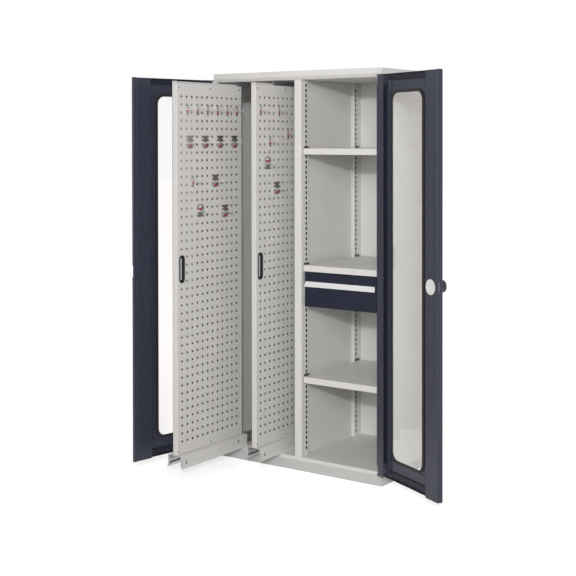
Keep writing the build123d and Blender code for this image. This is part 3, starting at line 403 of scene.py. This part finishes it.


# near-black painted shade on the hidden inner faces of sheets, posts and housings, which darkens
# their holes and slots
painted_shade_inside = powder_coat("Painted_shade_inside", (0.022, 0.019, 0.018), 0.7)
sheet_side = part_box("divider_panel")[1].x
for post, inset, lowest, back_edge in (
    ("divider_front_post", FRONT_POST_SLOT, FRONT_LOWEST, "returned"),
    ("divider_rear_post", REAR_POST_SLOT, REAR_LOWEST, "open"),
):
    low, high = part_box(post)
    plan = [(low.x, high.y), (low.x, low.y), (high.x, low.y), (high.x, high.y)]
    if back_edge == "returned":
        plan.append((sheet_side, high.y))
    piece = pierced_sheet(
        post.capitalize(), plan, low.z, high.z,
        slot_column((high.y - low.y) + (high.x - low.x) + inset, lowest),
    )
    dress(piece, carcass_coat, "cabinet", "carcass_grey", post, inside=painted_shade_inside)

# the uprights on the right wall: the same strip, with its slots near the front edge
UPRIGHT_WIDTH = 0.046
UPRIGHT_SLOT = 0.014
low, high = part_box("right_uprights")
rear_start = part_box("divider_rear_post")[0].y
for start, end, lowest, name in (
    (low.y, low.y + UPRIGHT_WIDTH, FRONT_LOWEST, "Right_upright_front"),
    (rear_start, high.y, REAR_LOWEST, "Right_upright_rear"),
):
    piece = pierced_sheet(
        name,
        [(high.x, end), (low.x, end), (low.x, start), (high.x, start)],
        low.z, high.z,
        slot_column((high.x - low.x) + (end - start) - UPRIGHT_SLOT, lowest),
    )
    dress(piece, carcass_coat, "cabinet", "carcass_grey", "right_uprights", inside=painted_shade_inside)

# the thin sheet between the posts, with painted shade where the front post covers it
low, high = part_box("divider_panel")
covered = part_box("divider_front_post")[1].y
divider = pierced_sheet(
    "Divider_panel",
    [(high.x, low.y), (high.x, covered), (high.x, high.y)],
    low.z, high.z, [], fold=0.0, paint_inner_shade=False,
)
for face in divider.data.polygons:
    face.material_index = 1 if face.center.y < covered else 0
dress(divider, carcass_coat, "cabinet", "carcass_grey", "divider_panel", inside=painted_shade_inside)

# ---------------------------------------------------------------------------
# Shelves: folded steel trays in the carcass colour, on small plated clips that
# hang in the slots, four to a shelf.  The clips' dark brown-grey is painted shade.
# ---------------------------------------------------------------------------
SHELF_GREY = (0.66, 0.66, 0.648)
ZINC, CLIP_SHADE_GREY = (0.60, 0.60, 0.61), (0.20, 0.185, 0.175)


def plated_steel(name, colour, roughness, metal=1.0, grain=(6.0, 90.0, 90.0)):
    """Zinc or drawn metal: fine lines along the piece and a mottled sheen."""
    material, tree, output = new_material(name)
    steel = tree.nodes.new("ShaderNodeBsdfPrincipled")
    steel.inputs["Metallic"].default_value = metal
    place = tree.nodes.new("ShaderNodeTexCoord").outputs["Object"]
    stretch = tree.nodes.new("ShaderNodeMapping")
    stretch.inputs["Scale"].default_value = grain
    tree.links.new(place, stretch.inputs["Vector"])
    lines = noise(tree, stretch.outputs["Vector"], 9.0, 3.0)
    mottled = two_shades(tree, noise(tree, place, 60.0), colour, 0.86, 1.1)
    sheen = spread(tree, lines, roughness - 0.08, roughness + 0.1)
    drawn = relief(tree, lines, 0.08, 0.0004)
    tree.links.new(mottled, steel.inputs["Base Color"])
    tree.links.new(sheen, steel.inputs["Roughness"])
    tree.links.new(drawn.outputs["Normal"], steel.inputs["Normal"])
    tree.links.new(steel.outputs[0], output.inputs["Surface"])
    return material


shelf_coat = powder_coat("Shelf_grey_coat", SHELF_GREY, 0.34)
finish_nodes(shelf_coat, "shelf_upper", "shelf_middle", "shelf_lower")
zinc = plated_steel("Zinc_plate", ZINC, 0.38)
# dark brown-grey on the shelf clips: painted shade
clip_shade_steel = plated_steel("Clip_painted_shade_steel", CLIP_SHADE_GREY, 0.45)
finish_nodes(clip_shade_steel, "shelf_clips")

# ---------------------------------------------------------------------------
# Guides of the pull-out panels and of the drawer: rolled, zinc plated rails
# fixed to carcass and load, with drawn aluminium runners between them.
# ---------------------------------------------------------------------------
RUNNER_ALUMINIUM = (0.74, 0.74, 0.75)
runner_metal = plated_steel("Drawn_aluminium", RUNNER_ALUMINIUM, 0.3, grain=(90.0, 6.0, 90.0))
finish_nodes(
    zinc,
    "floor_slide_rails", "ceiling_slide_rails", "drawer_cabinet_rails", "drawer_slides",
    "panel_1_slides", "panel_2_slides",
)
finish_nodes(runner_metal, "panel_1_mid_slides", "panel_2_mid_slides", "drawer_mid_slides")

# ---------------------------------------------------------------------------
# Pull-out panels: two perforated sheets each, with 10 mm square holes every 38
# mm, folded into a thin box over a guide housing; light grey powder coat, and
# black screws that hold the guides.
# ---------------------------------------------------------------------------
PANEL_GREY = (0.625, 0.622, 0.612)
HOLE = 0.010
HOLE_PITCH = 0.038
FIRST_COLUMN = 0.033
FIRST_ROW = 0.062
COLUMNS, ROWS = 12, 44
GRIP_COLUMN, GRIP_ROW = 0, 21.5
GRIP_POCKET = (0.030, 0.122)
GUIDE_NOTCH = 0.044  # in the back flange, which passes over the upper guide
FLANGE_HEIGHT, END_PLATE = 0.011, 0.027
FLANGE_FOLD = 0.001
END_PLATE_HOLES = ((0.005, 0.011, 0.003, 0.009), (0.015, 0.022, 0.004, 0.008))
TOP_SCREWS, TOP_SCREW_DROP = (0.015, 0.2475, 0.478), 0.018
LOW_SCREWS, LOW_SCREW_LIFT = (0.007, 0.245), 0.016
SCREW_RADIUS, RIVET_RADIUS = 0.0035, 0.0022
HOUSING_WIDTH, FOOT_RISE, HOUSING_FOLD = 0.080, 0.010, 0.0015
HOUSING_RIVETS = ((0.004, 0.014), (0.009, 0.021), (0.005, 0.032))
HOLE_SHADE, HOLE_SHADE_PLACES = (0.016, 0.007), ((0.040, 0.024), (0.440, 0.036))
HOLE_SHADE_THICKNESS, HOLE_SHADE_PROUD = 0.0015, 0.0006
ARC_STEPS = 16
# a button head from its rim to its socket: share of the radius, and rise
BUTTON_HEAD = ((1.0, 0.0), (0.96, 0.22), (0.80, 0.42), (0.52, 0.52), (0.45, 0.50), (0.42, 0.12))
BUTTON_SIDES = 18

panel_coat = powder_coat("Panel_grey_coat", PANEL_GREY, 0.45)
black_screw = plated_steel("Black_screw", (0.05, 0.045, 0.045), 0.4)


def stadium(length, width):
    """Closed line round an upright stadium, about its middle."""
    radius = width / 2
    line = []
    for side in (1, -1):
        for step in range(ARC_STEPS + 1):
            turn = pi * step / ARC_STEPS
            line.append(
                (side * radius * cos(turn), side * ((length / 2 - radius) + radius * sin(turn)))
            )
    return line


def cut_plate(name, loops, thickness, face, round_edge=0.0004):
    """Flat plate in an upright plane across X, with its outer side at face: closed lines of
    (y, z), of which inner ones are holes."""
    outline = bpy.data.curves.new(name, "CURVE")
    outline.dimensions = "2D"
    outline.fill_mode = "BOTH"
    outline.extrude = thickness / 2 - round_edge
    outline.bevel_depth = round_edge
    outline.bevel_resolution = 2
    outline.offset = -round_edge
    for loop in loops:
        spline = outline.splines.new("POLY")
        spline.points.add(len(loop) - 1)
        for point, (y, z) in zip(spline.points, loop):
            point.co = (y, z, 0, 1)
        spline.use_cyclic_u = True
    drawing = bpy.data.objects.new(name + "_outline", outline)
    mesh = bpy.data.meshes.new_from_object(drawing)
    bpy.data.objects.remove(drawing)
    bpy.data.curves.remove(outline)
    mesh.materials.clear()
    upright = Matrix(((0, 0, 1, 0), (1, 0, 0, 0), (0, 1, 0, 0), (0, 0, 0, 1)))
    mesh.transform(Matrix.Translation((face - thickness / 2, 0, 0)) @ upright)
    piece = bpy.data.objects.new(name, mesh)
    scene.collection.objects.link(piece)
    return piece


def shifted_loop(loop, y, z):
    """Line moved by y and z."""
    return [(a + y, b + z) for a, b in loop]


def moulded_plastic(name, colour, roughness):
    """Moulded plastic: even colour with a fine grain and faint flow marks."""
    material, tree, output = new_material(name)
    plastic = tree.nodes.new("ShaderNodeBsdfPrincipled")
    place = tree.nodes.new("ShaderNodeTexCoord").outputs["Object"]
    flow = noise(tree, place, 35.0, 3.0)
    grain = tree.nodes.new("ShaderNodeTexVoronoi")
    grain.inputs["Scale"].default_value = 900.0
    tree.links.new(place, grain.inputs["Vector"])
    grained = relief(tree, grain.outputs["Distance"], 0.15, 0.0003)
    marked = two_shades(tree, flow, colour, 0.85, 1.15)
    sheen = spread(tree, flow, roughness - 0.05, roughness + 0.1)
    tree.links.new(marked, plastic.inputs["Base Color"])
    tree.links.new(sheen, plastic.inputs["Roughness"])
    tree.links.new(grained.outputs["Normal"], plastic.inputs["Normal"])
    tree.links.new(plastic.outputs[0], output.inputs["Surface"])
    return material


black_plastic = moulded_plastic("Black_plastic", (0.014, 0.014, 0.016), 0.4)


def button_screws(name, places, face, radius):
    """Low domed heads with a round socket, on an upright face that looks to +X."""
    bm = bmesh.new()
    turns = [2 * pi * k / BUTTON_SIDES for k in range(BUTTON_SIDES)]
    for y, z in places:
        rings = [
            [
                bm.verts.new((
                    face + rise * radius,
                    y + reach * radius * cos(turn),
                    z + reach * radius * sin(turn),
                ))
                for turn in turns
            ]
            for reach, rise in BUTTON_HEAD
        ]
        for inner, outer in zip(rings[1:], rings):
            for k in range(BUTTON_SIDES):
                after = (k + 1) % BUTTON_SIDES
                bm.faces.new((outer[k], outer[after], inner[after], inner[k]))
        bm.faces.new(rings[-1])
    return finished_piece(name, bm)


def folded_trough(name, section, start, end):
    """Sheet folded on lines along Y, with near-black painted shade under its roof.  section is its
    outer line, seen from the front and given clockwise; its roof is the middle one of its five
    sides."""
    bm = bmesh.new()
    grid = [[bm.verts.new((x, y, z)) for y in (start, end)] for x, z in section]
    for side, (near, far) in enumerate(zip(grid, grid[1:])):
        face = bm.faces.new((near[0], far[0], far[1], near[1]))
        face.material_index = 1 if side == 2 else 0
    piece = finished_piece(name, bm)
    round_folds(piece, HOUSING_FOLD, 30)
    thicken(piece, SHEET).material_offset = 1
    return piece


def hole_point(panel, column, row):
    """Distance from the panel's front edge, and height, of a place in the hole grid."""
    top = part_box(f"{panel}_right_sheet")[1].z
    return FIRST_COLUMN + column * HOLE_PITCH, top - FIRST_ROW - row * HOLE_PITCH


for panel in ("panel_1", "panel_2"):
    piece_name = panel.capitalize()

    # right sheet: a pan with flanges in front, at the back and below
    low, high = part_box(f"{panel}_right_sheet")
    fold_depth = high.x - low.x
    grip_u, grip_z = hole_point(panel, GRIP_COLUMN, GRIP_ROW)
    holes = []
    for column in range(COLUMNS):
        for row in range(ROWS):
            u, z = hole_point(panel, column, row)
            under_grip = column == GRIP_COLUMN and abs(z - grip_z) < GRIP_POCKET[1] / 2 + HOLE
            if not under_grip:
                holes.append((u - HOLE / 2, u + HOLE / 2, z - HOLE / 2, z + HOLE / 2))
    pocket = (
        grip_u - GRIP_POCKET[0] / 2, grip_u + GRIP_POCKET[0] / 2,
        grip_z - GRIP_POCKET[1] / 2, grip_z + GRIP_POCKET[1] / 2,
    )
    length = high.y - low.y
    over_guide = (length, length + fold_depth, high.z - GUIDE_NOTCH, high.z)
    shifted = [
        (fold_depth + a, fold_depth + b, c, d) for a, b, c, d in holes + [pocket, over_guide]
    ]
    right_sheet = pierced_sheet(
        f"{piece_name}_right_sheet",
        [(low.x, low.y), (high.x, low.y), (high.x, high.y), (low.x, high.y)],
        low.z, high.z, shifted, foot=fold_depth,
    )
    dress(
        right_sheet, panel_coat, panel, "panel_grey", f"{panel}_right_sheet", inside=painted_shade_inside
    )

    # left sheet: a flat cover with the same holes
    low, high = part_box(f"{panel}_left_sheet")
    length = high.y - low.y
    mirrored = [(length - b, length - a, c, d) for a, b, c, d in holes]
    left_sheet = pierced_sheet(
        f"{piece_name}_left_sheet",
        [(low.x, high.y), (low.x, low.y)],
        low.z, high.z, mirrored, fold=0.0,
    )
    dress(left_sheet, panel_coat, panel, "panel_grey", f"{panel}_left_sheet", inside=painted_shade_inside)

    # upright flange over the left sheet, and the plate that closes the rail in front
    flange = pierced_sheet(
        f"{piece_name}_top_flange",
        [(low.x, high.y), (low.x, low.y), (low.x + END_PLATE, low.y)],
        high.z, high.z + FLANGE_HEIGHT,
        [(length + a, length + b, high.z + c, high.z + d) for a, b, c, d in END_PLATE_HOLES],
        fold=FLANGE_FOLD,
    )
    dress(flange, panel_coat, panel, "panel_grey", inside=panel_coat)

    # screws of the upper guide, and of the lower one
    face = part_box(f"{panel}_right_sheet")[1].x
    places = [(low.y + u, high.z - TOP_SCREW_DROP) for u in TOP_SCREWS]
    places += [(low.y + u, low.z + LOW_SCREW_LIFT) for u in LOW_SCREWS]
    dress(
        button_screws(f"{piece_name}_sheet_screws", places, face, SCREW_RADIUS),
        black_screw, panel, "zinc_steel",
    )

    # housing: an upturned trough with flared feet, two thin black plates painted as the
    # shade of oblong holes, and three rivets in its right wall
    low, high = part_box(f"{panel}_housing")
    middle = (low.x + high.x) / 2
    left, right = middle - HOUSING_WIDTH / 2, middle + HOUSING_WIDTH / 2
    section = [
        (low.x, low.z), (left, low.z + FOOT_RISE), (left, high.z),
        (right, high.z), (right, low.z + FOOT_RISE), (high.x, low.z),
    ]
    housing = folded_trough(f"{piece_name}_housing", section, low.y, high.y)
    dress(housing, panel_coat, panel, "panel_grey", f"{panel}_housing", inside=panel_coat)
    # third finish: near-black painted shade under the housing's roof
    housing.data.materials.append(painted_shade_inside)
    # black plates in place of two oblong holes: their colour is the holes' painted shade
    hole_shades = cut_plate(
        f"{piece_name}_housing_hole_shades",
        [shifted_loop(stadium(*HOLE_SHADE), low.y + u, low.z + z) for u, z in HOLE_SHADE_PLACES],
        HOLE_SHADE_THICKNESS, right + HOLE_SHADE_PROUD,
    )
    dress(hole_shades, black_plastic, panel, "black_plastic")
    rivets = [(low.y + u, low.z + z) for u, z in HOUSING_RIVETS]
    dress(
        button_screws(f"{piece_name}_housing_rivets", rivets, right, RIVET_RADIUS),
        black_screw, panel, "zinc_steel",
    )

# ---------------------------------------------------------------------------
# Grips: black moulded cups set in the front edge of each panel, with a proud
# rim, a grained floor and a paler insert.
# ---------------------------------------------------------------------------
GRIP_LENGTH, GRIP_WIDTH, GRIP_WALL = 0.132, 0.040, 0.006
GRIP_RIM_EDGE = 0.0015
GRIP_FLOOR, CUP_THICKNESS = 0.014, 0.003
INSERT_LENGTH, INSERT_WIDTH, INSERT_THICKNESS = 0.104, 0.014, 0.005
PALE_INSERT = (0.50, 0.50, 0.51)
pale_insert = moulded_plastic("Pale_insert", PALE_INSERT, 0.5)
for panel in ("panel_1", "panel_2"):
    low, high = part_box(f"{panel}_grip")
    middle = ((low.y + high.y) / 2, (low.z + high.z) / 2)
    rim = stadium(GRIP_LENGTH, GRIP_WIDTH)
    mouth = stadium(GRIP_LENGTH - 2 * GRIP_WALL, GRIP_WIDTH - 2 * GRIP_WALL)
    cup_floor = high.x - GRIP_FLOOR
    ring = cut_plate(
        f"{panel.capitalize()}_grip_rim",
        [shifted_loop(rim, *middle), shifted_loop(mouth, *middle)],
        high.x - low.x, high.x, round_edge=GRIP_RIM_EDGE,
    )
    dress(ring, black_plastic, panel, "black_plastic", f"{panel}_grip")
    cup = cut_plate(
        f"{panel.capitalize()}_grip_cup", [shifted_loop(mouth, *middle)],
        CUP_THICKNESS, cup_floor,
    )
    dress(cup, black_plastic, panel, "black_plastic", f"{panel}_grip")
    insert = cut_plate(
        f"{panel.capitalize()}_grip_insert",
        [shifted_loop(stadium(INSERT_LENGTH, INSERT_WIDTH), *middle)],
        INSERT_THICKNESS, cup_floor + INSERT_THICKNESS,
    )
    dress(insert, pale_insert, panel, "black_plastic", f"{panel}_grip")

# ---------------------------------------------------------------------------
# Tool hooks: stamped carriers of bright plated steel, clipped into two holes
# each, with red plastic locks and prongs of round wire bent up at the tip.
# ---------------------------------------------------------------------------
# places: (column, row) of the upper left hole
NARROW_HOOKS = {
    "panel_1": [(1, 1), (3, 1), (5, 1), (7, 1), (9, 1), (11, 1), (2, 10)],
    "panel_2": [(0, 1), (4, 1), (6, 4), (2, 5)],
}
WIDE_HOOKS = {
    "panel_1": [(1, 5), (4, 5), (7, 5), (10, 5), (6, 10), (8, 14)],
    "panel_2": [(3, 11)],
}
INVERTED_HOOKS = {"panel_1": [(3, 14)], "panel_2": [(1, 8)]}
NARROW_DROP, WIDE_DROP = 0.004, 0.006
CARRIER_THICKNESS, CARRIER_EDGE = 0.004, 0.0006
PLATE_METAL, WIRE_METAL = (0.62, 0.61, 0.60), (0.86, 0.86, 0.87)
LOCK_RED = (0.40, 0.045, 0.06)


def mirrored_loop(half):
    """Closed line from its right half, given from the top down, in millimetres."""
    right = [(y / 1000, z / 1000) for y, z in half]
    return right + [(-y, z) for y, z in reversed(right) if y]


# each plate: its outline, then its holes
NARROW_LOOPS = [
    mirrored_loop([
        (0, 27), (3.5, 25), (7, 20), (9, 14.5), (8.5, 9), (5, 5), (3, 3), (3, -1), (6, -2.5),
        (8.5, -6), (9, -11), (9, -18), (7.5, -23), (4, -26), (0, -27),
    ]),
    mirrored_loop([(0, 22), (3.5, 18.5), (5.5, 14.5), (5, 10), (2.5, 7.5), (0, 7)]),
    mirrored_loop([(0, -6.5), (4.5, -7.5), (6, -11), (6, -17), (4.5, -21.5), (0, -23.5)]),
]
WIDE_LOOPS = [
    mirrored_loop([
        (0, 30.5), (27, 30.5), (27.5, 25), (22, 23), (16, 19), (16, 15), (22, 12), (27, 10),
        (27, 4), (20, 2.5), (4, 2), (4, -3), (27, -4), (27.5, -12), (26, -18), (21, -25),
        (13, -29.5), (0, -30.5),
    ]),
    mirrored_loop([(0, -12), (23, -12), (21.5, -17), (17, -22.5), (10, -26), (0, -27)]),
]
bright_plate = plated_steel("Bright_plate", PLATE_METAL, 0.24)
bright_wire = plated_steel("Bright_wire", WIRE_METAL, 0.2)
red_plastic = moulded_plastic("Red_plastic", LOCK_RED, 0.35)
for panel in ("panel_1", "panel_2"):
    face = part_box(f"{panel}_hook_carriers")[1].x
    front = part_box(f"{panel}_right_sheet")[0].y
    loops = []
    for places, shape, holes_wide, drop, way in (
        (NARROW_HOOKS[panel], NARROW_LOOPS, 0, NARROW_DROP, 1),
        (WIDE_HOOKS[panel], WIDE_LOOPS, 1, WIDE_DROP, 1),
        (INVERTED_HOOKS[panel], WIDE_LOOPS, 1, WIDE_DROP, -1),
    ):
        for column, row in places:
            u, z = hole_point(panel, column + holes_wide / 2, row + 0.5)
            for loop in shape:
                turned = [(a, way * b) for a, b in loop]
                loops.append(shifted_loop(turned, front + u, z - way * drop))
    carriers = cut_plate(
        f"{panel.capitalize()}_hook_carriers", loops, CARRIER_THICKNESS, face,
        round_edge=CARRIER_EDGE,
    )
    dress(carriers, bright_plate, panel, "zinc_steel", f"{panel}_hook_carriers")
    finish_nodes(red_plastic, f"{panel}_hook_locks")
    finish_nodes(bright_wire, f"{panel}_hook_prongs")

# ---------------------------------------------------------------------------
# Doors: folded sheet steel shells, dark blue powder coat, with a rubber gasket
# round a clear pane, a closed lock stile, a stiffening frame, and a shallow
# channel welded inside at either end, coated a darker blue as painted shade.
DOOR_BLUE, CHANNEL_SHADE_BLUE = (0.029, 0.033, 0.055), (0.012, 0.014, 0.026)
door_coat = powder_coat("Door_blue_coat", DOOR_BLUE, 0.34, gloss=0.32)
for door in ("left_door", "right_door"):
    finish_nodes(door_coat, f"{door}_shell", f"{door}_inner_frame", f"{door}_lock_stile")
finish_nodes(door_coat, "left_door_meeting_strip")

# leaves at rest: pivot, opening angle, and the side of the cabinet that carries the leaf
PIVOT = (0.493, -0.300)
PIVOT_OUT, PIVOT_IN = 0.003, 0.013  # from the leaf's edge, and from its outer face
OPENING = {"left_door": (102.2, -1), "right_door": (153.46, 1)}
SKIN_INSIDE = 0.0268
CHANNEL_START, CHANNEL_END = 0.081, 0.391
CHANNEL_LEVELS = ((0.0625, 0.0965), (1.8875, 1.9145))
CHANNEL_LIP, CHANNEL_GAUGE = 0.009, 0.001


def leaf_frame(door):
    """Turns (depth towards the outside, distance from the hinge edge, height) into place."""
    opening, hand = OPENING[door]
    angle = radians(opening)
    along = Vector((-hand * cos(angle), -sin(angle), 0))
    outwards = hand * Vector((-along.y, along.x, 0))
    origin = Vector((hand * PIVOT[0], PIVOT[1], 0)) + along * PIVOT_OUT - outwards * PIVOT_IN
    return Matrix((
        (outwards.x, along.x, 0, origin.x),
        (outwards.y, along.y, 0, origin.y),
        (0, 0, 1, 0),
        (0, 0, 0, 1),
    ))


# darker blue on the end channels: painted shade of the recesses at the door's ends
channel_shade_coat = powder_coat("Channel_painted_shade_coat", CHANNEL_SHADE_BLUE, 0.4, gloss=0.2)
channel_web = SKIN_INSIDE - CHANNEL_GAUGE
channel_lip = channel_web - CHANNEL_LIP
for door in OPENING:
    bm = bmesh.new()
    for bottom, top in CHANNEL_LEVELS:
        line = [
            (channel_lip, bottom), (channel_web, bottom), (channel_web, top), (channel_lip, top)
        ]
        grid = [
            [bm.verts.new((t, u, z)) for u in (CHANNEL_START, CHANNEL_END)] for t, z in line
        ]
        for near, far in zip(grid, grid[1:]):
            bm.faces.new((near[0], near[1], far[1], far[0]))
    bm.transform(leaf_frame(door))
    channels = finished_piece(f"{door.capitalize()}_end_channels", bm)
    thicken(channels, CHANNEL_GAUGE, offset=0)
    dress(channels, channel_shade_coat, door, "door_blue")

RUBBER_BLACK = (0.013, 0.009, 0.008)
rubber = moulded_plastic("Black_rubber", RUBBER_BLACK, 0.7)
finish_nodes(rubber, "left_door_gasket", "right_door_gasket")

clear_sheet, tree, output = new_material("Clear_sheet")
pane = tree.nodes.new("ShaderNodeBsdfPrincipled")
pane.inputs["Base Color"].default_value = (1.0, 1.0, 0.997, 1)
pane.inputs["Transmission Weight"].default_value = 1.0
pane.inputs["IOR"].default_value = 1.50
place = tree.nodes.new("ShaderNodeTexCoord").outputs["Object"]
haze = spread(tree, noise(tree, place, 7.0, 5.0), 0.0, 0.006)
rays = tree.nodes.new("ShaderNodeLightPath")
lets_light_by = tree.nodes.new("ShaderNodeBsdfTransparent")
lets_light_by.inputs["Color"].default_value = (0.93, 0.94, 0.935, 1)
choose = tree.nodes.new("ShaderNodeMixShader")
tree.links.new(haze, pane.inputs["Roughness"])
tree.links.new(rays.outputs["Is Shadow Ray"], choose.inputs["Fac"])
tree.links.new(pane.outputs[0], choose.inputs[1])
tree.links.new(lets_light_by.outputs[0], choose.inputs[2])
tree.links.new(choose.outputs[0], output.inputs["Surface"])
finish_nodes(clear_sheet, "left_door_pane", "right_door_pane")

# ---------------------------------------------------------------------------
# Lock: white cover disc inside, black knob outside on its spindle, and a
# zinc plated bolt in the stile.
# ---------------------------------------------------------------------------
COVER_WHITE = (0.74, 0.75, 0.74)
pale_plastic = moulded_plastic("Pale_plastic", COVER_WHITE, 0.4)
finish_nodes(pale_plastic, "lock_cover")
finish_nodes(black_plastic, "lock_knob")
finish_nodes(zinc, "lock_bolt")

# ---------------------------------------------------------------------------
# Hinges: zinc plated brackets on the carcass and steel pins, on which the
# doors hang by welded leaves in their own coat.
# ---------------------------------------------------------------------------
finish_nodes(zinc, "hinge_brackets", "hinge_pins")
finish_nodes(door_coat, "left_door_hinge_leaves", "right_door_hinge_leaves")

# ---------------------------------------------------------------------------
# Drawer: folded grey box on its own guides, dark blue coated front, and a pale
# anodised handle strip along the whole front.
# ---------------------------------------------------------------------------
DRAWER_BLUE, HANDLE_PALE = (0.009, 0.012, 0.027), (0.73, 0.73, 0.745)
drawer_coat = powder_coat("Drawer_blue_coat", DRAWER_BLUE, 0.34, gloss=0.2)
finish_nodes(drawer_coat, "drawer_front")
finish_nodes(carcass_coat, "drawer_box")
anodised = plated_steel("Pale_anodised", HANDLE_PALE, 0.45, metal=0.15)
finish_nodes(anodised, "drawer_handle")
